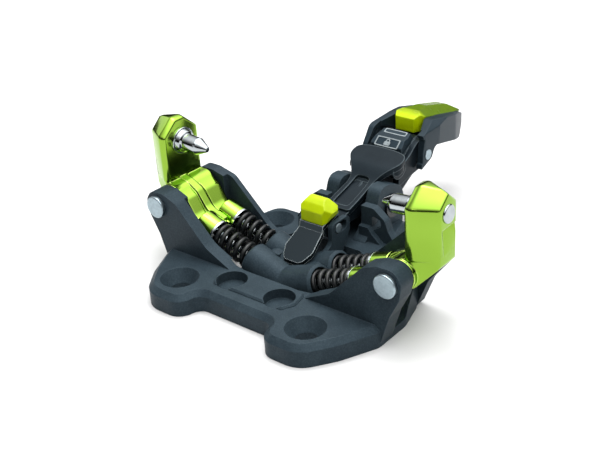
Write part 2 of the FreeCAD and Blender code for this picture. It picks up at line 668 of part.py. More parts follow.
def spring_set():
    """Washer, guide rod and spring on each of the four spring axes."""
    for name, sign in (("rear", "-"), ("front", "+")):
        y = f"toe_line{sign}spring_y"
        wx, wz = along_spring("washer_h")
        washer = cut(f"washer_{name}", rod(f"washer_{name}_disc", "X", (wx, y, wz), "cup_radius+0.1", "washer_h",
                                           "spring_tilt"),
                     rod(f"washer_{name}_hole", "X", (wx, y, wz), "rod_d/2", "washer_h", "spring_tilt"))
        keep_pair("cup_washer_{side}_" + name, washer)

        rx, rz = along_spring("rod_reach")
        bar = rod(f"guide_rod_{name}", "X", (rx, y, rz), "rod_d/2", "rod_reach+cup_length-2.5", "spring_tilt")
        keep_pair("spring_rod_{side}_" + name, bar)

        helix = doc.addObject("Part::Helix", f"coil_{name}")
        helix.setExpression("Radius", bound("(spring_d-wire_d)/2"))
        helix.setExpression("Pitch", bound("(spring_length-wire_d)/spring_turns"))
        helix.setExpression("Height", bound("spring_length-wire_d"))
        wire = doc.addObject("Part::Circle", f"coil_{name}_wire")
        wire.setExpression("Radius", bound("wire_d/2"))
        wire.Placement = FreeCAD.Placement(FreeCAD.Vector(), TURN["XZ"])
        wire.setExpression("Placement.Base.x", bound("(spring_d-wire_d)/2"))
        spring = doc.addObject("Part::Sweep", f"coil_{name}_wound")
        spring.Sections = [wire]
        spring.Spine = (helix, ["Edge1"])
        spring.Solid = True
        spring.Frenet = True
        sx, sz = along_spring("washer_h+spring_length-wire_d/2")
        place(spring, (sx, y, sz), (0, 1, 0), "90-spring_tilt")
        keep_pair("jaw_spring_{side}_" + name, spring)


# ---------------------------------------------------------------- spring block


def spring_block():
    """Casting with four spring sockets in a V, a saddle for the tongue, and two lugs with a slot for the lift pin."""
    end = "(rim_x-socket_end)/cos(spring_tilt)"
    middle_x, middle_z = along_spring("rim_x/cos(spring_tilt)")
    sockets, bores = [], []
    for name, sign in (("rear", "-"), ("front", "+")):
        y = f"toe_line{sign}spring_y"
        full = rod(f"socket_{name}", "X", (middle_x, y, middle_z), "socket_radius",
                   f"rim_x/cos(spring_tilt)-{end}", "spring_tilt")
        rim = worth("socket_end+socket_radius/2")
        sockets.append(chamfer(f"socket_{name}_bevelled", full, "0.6", lambda edge: edge.CenterOfMass.x > rim - 4
                               and len(edge.Vertexes) == 1))
        bx, bz = along_spring("washer_h+spring_length")
        bores.append(rod(f"socket_bore_{name}", "X", (bx, y, bz), "socket_radius-socket_wall", "14", "spring_tilt"))
    web = prism("block_web", "XZ", "toe_line-spring_y", "toe_line+spring_y", [
        ("0", "0"),
        ("0", "6"),
        ("socket_end-4.4", "8", "2"),
        ("socket_end-2.4", "6.8", "1"),
        ("socket_end-2.4", "0"),
    ])
    lug = prism("block_lug", "YZ", "lug_inner", "lug_outer", [
        ("toe_line+2", "1"),
        ("lift_y-0.6", "1"),
        ("window_front-1", "6.4", "3"),
        ("lift_y+slot_travel+2.9", "lift_z-2.4", "1.5"),
        ("lift_y+slot_travel+2.9", "lift_z+2", "1.5"),
        ("lift_y-2.7", "lift_z+2", "1.5"),
        ("lift_y-3", "9.5", "2"),
        ("toe_line+2", "6"),
    ])
    right = cut("block_right", join("block_right_full", sockets + [web, lug]), join("socket_bores", bores))
    whole = join("block_whole", [right, mirror("block_left", right)])
    slot = prism("lift_slot", "YZ", "-20", "20", [
        ("lift_y-lift_pin/2-slot_play", "lift_z-lift_pin/2-slot_play", "lift_pin/2"),
        ("lift_y+slot_travel+lift_pin/2+slot_play", "lift_z-lift_pin/2-slot_play", "lift_pin/2"),
        ("lift_y+slot_travel+lift_pin/2+slot_play", "lift_z+lift_pin/2+slot_play", "lift_pin/2"),
        ("lift_y-lift_pin/2-slot_play", "lift_z+lift_pin/2+slot_play", "lift_pin/2"),
    ])
    saddle = prism("tongue_saddle", "YZ", "-(tongue_half+0.4)", "tongue_half+0.4", [
        ("tongue_tip_y-0.5", "tongue_tip_z-tongue_h-0.6"),
        ("stop_y", "stop_z-1.75-tongue_h-0.7"),
        ("stop_y", "30"),
        ("tongue_tip_y-0.5", "30"),
    ])
    trims = [slot, saddle, block("block_under", ("-30", "-30", "-20"), ("30", "30", "block_floor"))]
    keep("spring_block", cut("spring_block", whole, join("block_trims", trims)))


# ---------------------------------------------------------------- lever


SEAT_SLOPE = "0.29"
PLATE_SLOPE = "0.3"
# Two ends of the facet on the lever nose that carries the moulded block.
NOSE_FACET = [("44.6", "21.6"), ("handle_y-1.2", "handle_z+4.4")]


def lever_arm():
    """Lever bar with a head for tongue and stop, a hub on the tower pin, the wide plate, the nose and two braces."""
    head = "stop_z-tongue_h"
    bar = prism("lever_bar", "YZ", "-arm_half", "arm_half", [
        ("stop_y", head),
        ("stop_y+stop_depth+0.4", f"{head}+{SEAT_SLOPE}*(stop_depth+0.4)"),
        ("stop_y+stop_depth+1.4", "14.5", "1"),
        ("20.4", "14.2", "2"),
        ("lever_y", "lever_z+6.1"),
        ("37", "lever_z+7.2"),
        ("38", "lever_z-2"),
        ("28", "lever_z-1.2", "4"),
        ("19", "lift_z-2.2", "4"),
        ("stop_y+1.5", "lift_z-2.6", "2"),
    ])
    hub = rod("lever_hub", "X", ("-(lobe_inner-side_gap)", "lever_y", "lever_z"), "4.8", "2*(lobe_inner-side_gap)")
    plan = prism("plate_plan", "XY", "10", "30", mirrored([
        ("2.5", "lever_y-3.4"),
        ("3", "lever_y-0.6", "3"),
        ("plate_half", "lever_y+3.9", "4"),
        ("plate_half", "42.2", "2.5"),
        ("nose_half-0.4", "44.2"),
    ]))
    top = f"21.4+{PLATE_SLOPE}*(({{y}})-36.8)"
    slab = prism("plate_slab", "YZ", "-plate_half-1", "plate_half+1", [
        ("lever_y-4", top.format(y="lever_y-4")),
        ("45", top.format(y="45")),
        ("45", "20.2"),
        ("38.9", "18.7", "1"),
        ("37", "19.7", "1"),
        ("lever_y-4", "17.2"),
    ])
    plate = shared("lever_plate", [plan, slab])
    nose = prism("lever_nose_web", "YZ", "-nose_half", "nose_half", [
        ("43.4", "17.4"),
        ("42.9", "20.6"),
        *NOSE_FACET,
        ("handle_y+2", "handle_z+3.4"),
        ("handle_y+2", "handle_z-3.6"),
        ("handle_y-3", "handle_z-5", "2"),
    ])
    link = prism("lever_waist", "YZ", "-arm_half", "arm_half", [
        ("36", "lever_z+2"),
        ("36", "lever_z+7"),
        ("45", "21.5"),
        ("45", "16.5"),
        ("41", "lever_z-0.6", "2"),
        ("37", "lever_z-2.4"),
    ])
    drum = rod("lever_nose_drum", "X", ("-nose_half", "handle_y", "handle_z"), "nose_radius", "2*nose_half")
    braces = []
    for side, low, high in (("right", "lobe_inner", "brace_outer"), ("left", "-brace_outer", "-lobe_inner")):
        braces.append(prism(f"brace_{side}", "YZ", low, high, [
            ("lever_y+lobe_radius+1", "lever_z-0.4", "0.8"),
            ("lever_y+lobe_radius+0.8", "lever_z+1.8", "0.8"),
            ("handle_y-3.6", "handle_z-0.6", "3"),
            ("handle_y", "handle_z"),
            ("handle_y-0.6", "handle_z-3.6", "3"),
        ]))
    body = join("lever_body", [bar, hub, plate, nose, link, drum] + braces)
    panels = [
        prism(f"bar_panel_{side}", "YZ", low, high, [
            ("21.4", "15.2"),
            ("22.2", "14.35"),
            ("lever_y-1.4", "lever_z+5.4"),
            ("lever_y-1.4", "lever_z+9"),
        ])
        for side, low, high in (("right", "0.25", "arm_half-0.45"), ("left", "-(arm_half-0.45)", "-0.25"))
    ]
    tools = panels + [
        rod("lever_bush_bore", "X", ("-20", "lever_y", "lever_z"), "lever_pin/2+bush_wall", "40"),
        rod("handle_pin_bore", "X", ("-20", "handle_y", "handle_z"), "handle_pin/2+running", "40"),
        rod("lift_pin_bore", "X", ("-20", "lift_y", "lift_z"), "lift_pin/2", "40"),
        rod("stop_screw_way", "Z", ("0", "stop_y+1.9", "5"), "0.9", "15"),
        rod("stop_screw_sink", "Z", ("0", "stop_y+1.9", "5"), "1.8", "6.3"),
    ]
    keep("lever_arm", cut("lever_arm", body, join("lever_tools", tools)))

    bush = cut("bush", rod("bush_outer", "X", ("0.2", "lever_y", "lever_z"), "lever_pin/2+bush_wall",
                           "lobe_inner-side_gap-0.2"),
               rod("bush_hole", "X", ("0", "lever_y", "lever_z"), "lever_pin/2+running", "20"))
    both = doc.addObject("Part::Compound", "bushes")
    both.Links = [bush, mirror("bush_left", bush)]
    keep("lever_bushes", both)
    reach = "lug_outer+0.15"
    keep("lift_pin", rod("lift_pin", "X", (f"-({reach})", "lift_y", "lift_z"), "lift_pin/2", f"2*({reach})"))


def tongue_plate():
    """Bent steel plate: a rounded tongue that slopes down to the boot, and a flat seat under the boot stop."""
    head = "stop_z-tongue_h"
    side = prism("tongue_side", "YZ", "-tongue_half", "tongue_half", [
        ("tongue_tip_y", "tongue_tip_z-tongue_h"),
        ("tongue_tip_y", "tongue_tip_z"),
        ("stop_y-0.5", "stop_z-1.75"),
        ("stop_y-0.1", f"stop_z-{SEAT_SLOPE}*0.1"),
        ("stop_y+stop_depth+0.8", f"stop_z+{SEAT_SLOPE}*(stop_depth+0.8)"),
        ("stop_y+stop_depth+0.8", f"{head}+{SEAT_SLOPE}*(stop_depth+0.8)"),
        ("stop_y", head),
        ("stop_y", "stop_z-1.75-tongue_h-0.1"),
    ])
    plan = prism("tongue_plan", "XY", "0", "30", mirrored([
        ("2.9", "tongue_tip_y+0.1", "2"),
        ("tongue_half", "tongue_tip_y+3.4", "2"),
        ("arm_half+0.15", "stop_y-0.6"),
        ("arm_half+0.15", "stop_y+stop_depth+0.7", "3"),
    ]))
    screw_way = rod("tongue_screw_way", "Z", ("0", "stop_y+1.9", "5"), "0.9", "20")
    keep("tongue_plate", cut("tongue_plate", shared("tongue_body", [side, plan]), screw_way))


def boot_stop():
    """Faceted plastic stop on the tongue, held by a screw from below."""
    rise = f"stop_z+{SEAT_SLOPE}"
    side = prism("stop_side", "YZ", "-stop_half", "stop_half", [
        ("stop_y", "stop_z"),
        ("stop_y+0.1", "stop_z+3.3", "0.6"),
        ("stop_y+1.3", "stop_z+5.2", "1"),
        ("stop_y+2.6", "stop_z+stop_h-0.3", "1"),
        ("stop_y+4.2", "stop_z+stop_h", "1"),
        ("stop_y+stop_depth", f"{rise}*stop_depth", "0.4"),
    ])
    front = prism("stop_front", "XZ", "stop_y-1", "stop_y+stop_depth+1", mirrored([
        ("4.2", "stop_z-1"),
        ("4.2", "stop_z+0.8"),
        ("stop_half", "stop_z+3.2", "0.8"),
        ("stop_half-0.5", "stop_z+4.8", "0.8"),
        ("3", "stop_z+stop_h+0.3", "1.2"),
    ]))
    plan = prism("stop_plan", "XY", "0", "30", mirrored([
        ("3.4", "stop_y-0.1", "0.8"),
        ("stop_half", "stop_y+2.6", "1.5"),
        ("stop_half", "stop_y+4.8", "1.5"),
        ("3.4", "stop_y+stop_depth+0.1", "1"),
    ]))
    screw_way = rod("stop_screw_hole", "Z", ("0", "stop_y+1.9", "5"), "0.9", "stop_z-5+3")
    keep("boot_stop", cut("boot_stop", shared("stop_body", [side, front, plan]), screw_way))

    screw = turned("stop_screw", [
        ("0", "0"),
        ("0", "1.7", "0.2"),
        ("1", "1.7"),
        ("1", "0.9"),
        ("stop_z-11.3+3", "0.9"),
        ("stop_z-11.3+3", "0"),
    ])
    place(screw, ("0", "stop_y+1.9", "10.3"), (0, 1, 0), "-90")
    keep("boot_stop_screw", screw)


def mode_block():
    """Moulded piece on the lever nose, between the handle's cheeks, with two windows on its facets."""
    side = prism("mode_side", "YZ", "-nose_half", "nose_half", [
        NOSE_FACET[0],
        ("44.6", "24.05", "0.4"),
        ("46.7", "25.7", "0.6"),
        ("48.8", "25.9", "0.6"),
        ("50.7", "26.7", "0.4"),
        NOSE_FACET[1],
    ])
    front = prism("mode_front", "XZ", "40", "56", mirrored([
        ("nose_half", "20"),
        ("nose_half", "24.6", "0.5"),
        ("nose_half-0.9", "27", "0.5"),
    ]))
    seat = rod("mode_seat", "X", ("-nose_half-1", "handle_y", "handle_z"), "nose_radius", "2*nose_half+2")
    keep("mode_block", cut("mode_block", shared("mode_body", [side, front]), seat))


# ---------------------------------------------------------------- handle


def handle():
    """Handle: a moulded fork with two cheeks round the lever nose, a coloured insert, and the pin."""
    side = prism("handle_side", "YZ", "-cheek_outer", "cheek_outer", [
        ("45.3", "18.6", "1"),
        ("45.3", "22.4", "2"),
        ("49.2", "26.8", "2"),
        ("54.4", "handle_top-1.1"),
        ("57.6", "handle_top-0.3", "1.5"),
        ("63.4", "handle_top-1.2", "6"),
        ("74.6", "handle_top-3.8", "5"),
        ("handle_tip-0.6", "23.2", "0.8"),
        ("handle_tip", "21.8", "0.8"),
        ("handle_tip-4.6", "17", "1.5"),
        ("64", "20.1", "4"),
        ("56.2", "22.2", "2"),
        ("54.2", "18.9", "3"),
        ("49.6", "17", "2"),
        ("46.6", "17", "1"),
    ])
    plan = prism("handle_plan", "XY", "10", "40", mirrored([
        ("cheek_outer-0.7", "44"),
        ("cheek_outer", "51", "6"),
        ("cheek_outer", "58", "10"),
        ("7.6", "70", "10"),
        ("4", "handle_tip", "2.5"),
    ]))
    cross = prism("handle_cross", "XZ", "40", "handle_tip+2", mirrored([
        ("cheek_outer-0.8", "10"),
        ("cheek_outer", "19"),
        ("cheek_outer", "handle_top-2", "0.6"),
        ("insert_half+0.4", "handle_top+1.5"),
    ]))
    body = shared("handle_body", [side, plan, cross])
    tools = [
        block("handle_gap", ("-cheek_inner", "40", "10"), ("cheek_inner", "handle_y", "40")),
        rod("handle_drum_room", "X", ("-cheek_inner", "handle_y", "handle_z"), "nose_radius+nose_gap",
            "2*cheek_inner"),
        prism("handle_mouth", "XY", "handle_z", "40", mirrored([
            ("cheek_inner", "handle_y-1"),
            ("nose_half+0.6", "54.6", "1"),
            ("nose_half-0.6", "57.4"),
        ])),
        prism("insert_bed", "YZ", "-insert_half", "insert_half", insert_side("6")),
        rod("fork_pin_bore", "X", ("-20", "handle_y", "handle_z"), "handle_pin/2", "40"),
        prism("cheek_window", "YZ", "-20", "20", [
            ("46.3", "18.4", "0.6"),
            ("46.3", "21.9", "1.5"),
            ("49.4", "25.9", "1"),
            ("50.9", "25.7", "0.5"),
            ("handle_y-2.5", "handle_z+0.6", "1"),
            ("handle_y-2.5", "18.4", "0.6"),
        ]),
    ]
    keep("handle_fork", cut("handle_fork", body, join("handle_tools", tools)))
    reach = "cheek_outer+0.2"
    keep("handle_pin", rod("handle_pin", "X", (f"-({reach})", "handle_y", "handle_z"), "handle_pin/2",
                           f"2*({reach})"))


def insert_side(rise):
    """Side outline of the handle insert, with its upper line raised by rise."""
    return [
        ("54.2", "25.2"),
        ("54.2", f"handle_top+{rise}-1.4"),
        ("57.3", f"handle_top+{rise}", "1"),
        ("63.4", f"handle_top-0.5+{rise}", "6"),
        ("74", f"handle_top-3.3+{rise}", "4"),
        ("78", "24.6"),
        ("75.6", "22.6"),
        ("66.5", "25.2", "6"),
        ("57.4", "25.2"),
    ]


def handle_insert():
    side = prism("insert_side", "YZ", "-cheek_inner", "cheek_inner", insert_side("insert_rise"))
    plan = prism("insert_plan", "XY", "20", "40", mirrored([
        ("3.05", "54.1", "0.5"),
        ("insert_half", "57.4", "1"),
        ("insert_half", "72", "3"),
        ("insert_half-1.1", "80"),
    ]))
    domed = shared("insert_body", [side, plan])
    for name, sign in (("right", 1), ("left", -1)):
        turn = FreeCAD.Rotation(FreeCAD.Vector(0, 0, 1), FreeCAD.Vector(sign * 0.7, 0.25, 1))
        centre = turn.multVec(FreeCAD.Vector(25, 25, 0))
        facet = doc.addObject("Part::Box", f"insert_facet_{name}")
        facet.Length, facet.Width, facet.Height = 50, 50, 12
        facet.Placement = FreeCAD.Placement(FreeCAD.Vector(), turn)
        facet.setExpression("Placement.Base.x", bound(f"{sign}*insert_half-({centre.x})"))
        facet.setExpression("Placement.Base.y", bound(f"66.4-({centre.y})"))
        facet.setExpression("Placement.Base.z", bound(f"handle_top-2.1-({centre.z})"))
        domed = cut(f"insert_{name}_domed", domed, facet)
    keep("handle_insert", domed)


for build in (base_frame, pivot_pins, tower_pin, jaw, toe_pin, spring_set, spring_block, lever_arm, tongue_plate,
              boot_stop, mode_block, handle, handle_insert):
    build()
doc.recompute()

for item in doc.Objects:
    if "Invalid" in item.State or "Error" in item.State:
        raise RuntimeError(f"{item.Label} did not build: {item.State}")
for label, piece in parts.items():
    if piece.Shape.isNull() or not piece.Shape.isValid() or not piece.Shape.Solids:
        raise RuntimeError(f"{label} is not a valid solid")

os.makedirs("parts", exist_ok=True)
for label, piece in parts.items():
    piece.Shape.exportStep(f"parts/{label}.step")
print(len(parts), "parts")
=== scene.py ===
import json
import math

import bpy
from mathutils import Matrix, Vector

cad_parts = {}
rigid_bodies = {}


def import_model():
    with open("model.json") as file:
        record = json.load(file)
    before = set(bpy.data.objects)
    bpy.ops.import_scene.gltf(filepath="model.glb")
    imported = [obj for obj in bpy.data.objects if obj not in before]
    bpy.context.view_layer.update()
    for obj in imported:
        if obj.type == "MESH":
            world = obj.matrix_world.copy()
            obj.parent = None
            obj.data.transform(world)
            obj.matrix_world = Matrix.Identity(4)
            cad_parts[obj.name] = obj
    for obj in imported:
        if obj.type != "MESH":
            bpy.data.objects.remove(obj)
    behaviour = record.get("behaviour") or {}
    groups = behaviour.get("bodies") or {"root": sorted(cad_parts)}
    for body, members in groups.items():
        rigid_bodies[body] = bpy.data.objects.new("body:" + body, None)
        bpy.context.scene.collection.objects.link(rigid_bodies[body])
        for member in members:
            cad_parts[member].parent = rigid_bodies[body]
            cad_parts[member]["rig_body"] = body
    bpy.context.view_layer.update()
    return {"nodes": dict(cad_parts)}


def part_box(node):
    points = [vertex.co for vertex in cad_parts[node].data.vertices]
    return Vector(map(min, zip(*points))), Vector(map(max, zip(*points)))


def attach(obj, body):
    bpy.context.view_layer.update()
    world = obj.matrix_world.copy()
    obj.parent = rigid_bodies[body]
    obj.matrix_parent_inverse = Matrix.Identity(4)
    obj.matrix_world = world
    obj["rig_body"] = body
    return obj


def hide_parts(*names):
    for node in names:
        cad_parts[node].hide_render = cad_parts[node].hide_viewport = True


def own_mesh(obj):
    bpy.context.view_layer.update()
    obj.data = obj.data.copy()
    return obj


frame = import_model()
nodes = frame["nodes"]
MM = 0.001


# --- Camera -------------------------------------------------------------------------------------------------------
# A camera on a stand looks down on the piece from its right and its heel side, from about a forearm's length. It
# leans a few degrees to one side.
CAMERA_AIM = Vector((3.849, 2.8, 18.334)) * MM
CAMERA_AZIMUTH = math.radians(40.446)
CAMERA_ELEVATION = math.radians(27.537)
CAMERA_ROLL = math.radians(-3.612)
CAMERA_DISTANCE = 255.94 * MM
CAMERA_LENS = 59.215
CAMERA_FILM = 36

camera = bpy.data.objects.new("camera", bpy.data.cameras.new("camera"))
bpy.context.scene.collection.objects.link(camera)
bpy.context.scene.camera = camera
camera.data.lens = CAMERA_LENS
camera.data.sensor_width = CAMERA_FILM
camera.data.clip_start = 0.01
camera.data.clip_end = 20
backwards = Vector((
    math.sin(CAMERA_AZIMUTH) * math.cos(CAMERA_ELEVATION),
    -math.cos(CAMERA_AZIMUTH) * math.cos(CAMERA_ELEVATION),
    math.sin(CAMERA_ELEVATION),
))
upright = backwards.to_track_quat("Z", "Y").to_matrix().to_4x4()
stand = Matrix.Translation(CAMERA_AIM + backwards * CAMERA_DISTANCE)
camera.matrix_world = stand @ upright @ Matrix.Rotation(CAMERA_ROLL, 4, "Z")


# --- Base, block and lever: dark castings -------------------------------------------------------------------------
# The base, the spring block and the lever are castings with a blasted, blue-black coat. The coat is matt and a little
# mottled, and its edges are painted lighter, partly for rubbed wear and partly as a painted highlight. The lever's
# coat is darker and smoother than the others.
class Wire:
    """An output socket that can be reckoned with: + - * on it adds Math nodes."""

    def __init__(self, finish, socket):
        self.finish = finish
        self.socket = socket

    def maths(self, operation, first, second):
        return self.finish.node("ShaderNodeMath", {"operation": operation}, {0: first, 1: second})

    def __add__(self, other):
        return self.maths("ADD", self, other)

    __radd__ = __add__

    def __sub__(self, other):
        return self.maths("SUBTRACT", self, other)

    def __rsub__(self, other):
        return self.maths("SUBTRACT", other, self)

    def __mul__(self, other):
        return self.maths("MULTIPLY", self, other)

    __rmul__ = __mul__

    def between(self, low, high, start=0.0, end=1.0):
        """This value with low..high stretched to start..end, and held there beyond."""
        return self.finish.node(
            "ShaderNodeMapRange",
            {"clamp": True},
            {"Value": self, "From Min": low, "From Max": high, "To Min": start, "To Max": end},
        )


class Finish:
    """A material being built up. node() adds a node: its settings first, then its sockets' values or Wires."""

    def __init__(self, name, **sockets):
        self.material = bpy.data.materials.new(name)
        self.material.use_nodes = True
        self.tree = self.material.node_tree
        self.shader = self.tree.nodes["Principled BSDF"]
        self.place = self.node("ShaderNodeTexCoord", output="Object")
        self.set(**sockets)

    def feed(self, socket, value):
        if isinstance(value, Wire):
            self.tree.links.new(value.socket, socket)
        elif isinstance(value, tuple) and len(value) == 3 and socket.type == "RGBA":
            socket.default_value = (*value, 1)
        else:
            socket.default_value = value

    def node(self, kind, settings=None, sockets=None, output=0):
        made = self.tree.nodes.new(kind)
        for name, value in (settings or {}).items():
            setattr(made, name, value)
        for name, value in (sockets or {}).items():
            self.feed(made.inputs[name], value)
        return Wire(self, made.outputs[output])

    def set(self, **sockets):
        """Sockets of the shader, with their names in lower case and _ for a space."""
        for name, value in sockets.items():
            self.feed(next(s for s in self.shader.inputs if s.name.lower().replace(" ", "_") == name), value)

    def noise(self, scale, detail=2.0, stretch=None, roughness=0.5):
        """Noise of about 1/scale metres, from 0 to 1, or drawn out along an axis by a stretch of 3 factors."""
        place = self.place
        if stretch:
            place = self.node("ShaderNodeMapping", {}, {"Vector": self.place, "Scale": stretch})
        return self.node(
            "ShaderNodeTexNoise", {}, {"Vector": place, "Scale": scale, "Detail": detail, "Roughness": roughness}
        )

    def mix(self, first, second, share):
        """Colour that goes from the first to the second as share goes from 0 to 1."""
        return self.node(
            "ShaderNodeMix", {"data_type": "RGBA"}, {"Factor": share, 6: first, 7: second}, output=2
        )

    def rounding(self, radius):
        """Normal that rolls over every edge with a radius in metres."""
        return self.node("ShaderNodeBevel", {"samples": 8}, {"Radius": radius})

    def edges(self, radius):
        """1 along the edges within a radius in metres, 0 on the flats."""
        flat = self.node("ShaderNodeNewGeometry", output="Normal")
        lean = self.node(
            "ShaderNodeVectorMath", {"operation": "DOT_PRODUCT"}, {0: self.rounding(radius), 1: flat}, output="Value"
        )
        return (1 - lean).between(0.02, 0.2)

    def bump(self, height, depth, normal):
        """Normal with a height of 0 to 1 raised by a depth in metres."""
        return self.node(
            "ShaderNodeBump", {}, {"Strength": 1.0, "Distance": depth, "Height": height, "Normal": normal}
        )

    def on(self, *names):
        """Give this finish to CAD nodes."""
        for name in names:
            nodes[name].material_slots[0].material = self.material

    def paint(self, piece):
        """Give this finish to a piece that is made here."""
        piece.data.materials.clear()
        piece.data.materials.append(self.material)


def dark_casting(name, colour, light, wear_and_sheen, gloss, roughness, grain, radius):
    finish = Finish(name, metallic=0.0, ior=1.45, specular_ior_level=gloss, specular_tint=(0.62, 0.84, 1.0))
    mottle = finish.noise(140, 5, roughness=0.62)
    fine = finish.noise(2600, 2)
    rim = finish.edges(radius)
    ground = finish.mix(colour, light, mottle.between(0.3, 0.75) * 0.7 + fine.between(0.4, 0.7) * 0.6)
    finish.set(
        # The edges are painted a lighter colour: partly rubbed wear and partly a painted highlight.
        base_color=finish.mix(ground, wear_and_sheen, rim * 0.6),
        roughness=mottle.between(0.2, 0.8, roughness - 0.05, roughness + 0.08) - rim * 0.1,
        normal=finish.bump(fine, grain, finish.rounding(radius)),
    )
    return finish


base_coat = dark_casting(
    "base_coat",
    colour=(0.0105, 0.0175, 0.0235),
    light=(0.027, 0.0405, 0.050),
    # Lighter edge colour, partly rubbed wear and partly a painted highlight.
    wear_and_sheen=(0.06, 0.085, 0.1),
    gloss=0.24,
    roughness=0.5,
    grain=0.012 * MM,
    radius=0.22 * MM,
)
lever_coat = dark_casting(
    "lever_coat",
    colour=(0.0035, 0.006, 0.0085),
    light=(0.0065, 0.010, 0.013),
    # Bright edge colour, partly rubbed wear and partly a painted highlight.
    wear_and_sheen=(0.16, 0.2, 0.22),
    gloss=0.17,
    roughness=0.33,
    grain=0.006 * MM,
    radius=0.55 * MM,
)
base_coat.on("base_frame", "spring_block")


# --- Jaws ---------------------------------------------------------------------------------------------------------
# Each jaw is machined from aluminium, tumbled, and anodised lime green, so its faces shine like tinted metal. Its
# plate narrows outwards, is faceted all round, and has a scoop milled below the riveted end of the toe pin. Its edges
# are painted a pale yellow-lime as a painted highlight.
JAW_MIDDLE = 2.8
JAW_SEAM = 23.5
JAW_SEAM_LAP = 1.7
JAW_WIDE = 6.6
JAW_NARROW = 3.5
JAW_INSIDE = 38.3
JAW_INSIDE_BEVEL = 0.4
JAW_RIM = 40.1
JAW_OUTSIDE = 46.19
JAW_OUTSIDE_TOP = 38.6
JAW_INSIDE_TOP = 38.8
JAW_CROWN = 39.42
JAW_CROWN_HALF = 1.7
JAW_SHOULDER = 35.2
JAW_EDGE = 0.5


def at(x, side, z):
    """A point of the right jaw's plate in millimetres, with side measured from the middle of the jaw."""
    return Vector((x, JAW_MIDDLE + side, z)) * MM


def pick(piece):
    """Make a piece the only one selected, and the active one."""
    bpy.ops.object.select_all(action="DESELECT")
    bpy.context.view_layer.objects.active = piece
    piece.select_set(True)


def edit(piece):
    pick(piece)
    bpy.ops.object.mode_set(mode="EDIT")
    bpy.ops.mesh.select_mode(type="VERT")
    bpy.ops.mesh.select_all(action="SELECT")


def slice_off(piece, first, second, third, keep):
    """Cut a closed piece along the plane through three points, and keep the side with a fourth."""
    across = (second - first).cross(third - first).normalized()
    if across.dot(keep - first) > 0:
        across.negate()
    edit(piece)
    bpy.ops.mesh.bisect(plane_co=first, plane_no=across, use_fill=True, clear_outer=True)
    bpy.ops.object.mode_set(mode="OBJECT")


def blank(name, low, high):
    """A blank to be cut down, between two corners."""
    bpy.ops.object.select_all(action="DESELECT")
    bpy.ops.mesh.primitive_cube_add(size=1, location=(low + high) / 2)
    piece = bpy.context.object
    piece.name = piece.data.name = name
    piece.scale = high - low
    bpy.ops.object.transform_apply(location=True, rotation=True, scale=True)
    return piece


def combine(piece, other, operation):
    """Add another piece to this one, or cut it away, and delete the other."""
    pick(piece)
    step = piece.modifiers.new("combine", "BOOLEAN")
    step.object = other
    step.operation = operation
    step.solver = "EXACT"
    bpy.ops.object.modifier_apply(modifier=step.name)
    bpy.data.objects.remove(other)


def copy_node(name, made):
    """A closed copy of a CAD node's mesh as a new piece."""
    piece = bpy.data.objects.new(made, nodes[name].data.copy())
    bpy.context.scene.collection.objects.link(piece)
    edit(piece)
    bpy.ops.mesh.remove_doubles(threshold=0.0005 * MM)
    bpy.ops.mesh.customdata_custom_splitnormals_clear()
    bpy.ops.object.mode_set(mode="OBJECT")
    return piece


def soften(piece, degrees):
    """Shade a piece smooth, except across edges sharper than this."""
    pick(piece)
    bpy.ops.object.shade_smooth_by_angle(angle=math.radians(degrees), keep_sharp_edges=False)


def jaw_plate():
    """The right jaw's plate above the arm, with its facets."""
    foot = JAW_SEAM - JAW_SEAM_LAP
    plate = blank("jaw_plate", at(JAW_INSIDE, -JAW_WIDE, foot), at(JAW_OUTSIDE, JAW_WIDE, JAW_CROWN))
    heart = at(42, 0, 30)
    ridge, along_ridge = at(JAW_RIM, 0, JAW_CROWN), at(JAW_RIM, 1, JAW_CROWN)
    slice_off(plate, ridge, along_ridge, at(JAW_OUTSIDE, 0, JAW_OUTSIDE_TOP), heart)
    slice_off(plate, ridge, along_ridge, at(JAW_INSIDE, 0, JAW_INSIDE_TOP), heart)
    for side in (-1, 1):
        wide, narrow = side * JAW_WIDE, side * JAW_NARROW
        bevelled = wide - side * JAW_INSIDE_BEVEL
        slice_off(plate, at(JAW_RIM, wide, 20), at(JAW_RIM, wide, 30), at(JAW_OUTSIDE, narrow, 20), heart)
        slice_off(plate, at(JAW_RIM, wide, 20), at(JAW_RIM, wide, 30), at(JAW_INSIDE, bevelled, 20), heart)
        shoulder, crown = at(JAW_RIM, wide, JAW_SHOULDER), at(JAW_RIM, side * JAW_CROWN_HALF, JAW_CROWN)
        slice_off(plate, shoulder, crown, at(JAW_OUTSIDE, narrow, JAW_SHOULDER), heart)
        slice_off(plate, shoulder, crown, at(JAW_INSIDE, bevelled, JAW_SHOULDER - 0.3), heart)
    edit(plate)
    bpy.ops.mesh.remove_doubles(threshold=0.01 * MM)
    bpy.ops.mesh.select_mode(type="EDGE")
    bpy.ops.mesh.select_all(action="DESELECT")
    bpy.ops.mesh.edges_select_sharp(sharpness=math.radians(12))
    bpy.ops.mesh.bevel(offset=JAW_EDGE * MM, segments=3, profile=0.5, clamp_overlap=True)
    bpy.ops.object.mode_set(mode="OBJECT")
    return plate


def jaw_scoop():
    """The cutter of the scoop: deepest along its heel side, and running out to a point below."""
    scoop = blank("jaw_scoop", at(44.4, -3, 22.4), at(49, 9, 30))
    middle = at(47.5, 3.2, 29)
    deep = at(44.7, -0.2, 30)
    foot = at(JAW_OUTSIDE + 0.05, -1.9, 22.6)
    slice_off(scoop, at(JAW_OUTSIDE, -2.8, 30), deep, foot, middle)
    slice_off(scoop, deep, at(45.3, 3.4, 30), foot, middle)
    slice_off(scoop, at(47, -3, 29.8), at(47, 2, 30), at(40, 2, 29.6), middle)
    return scoop


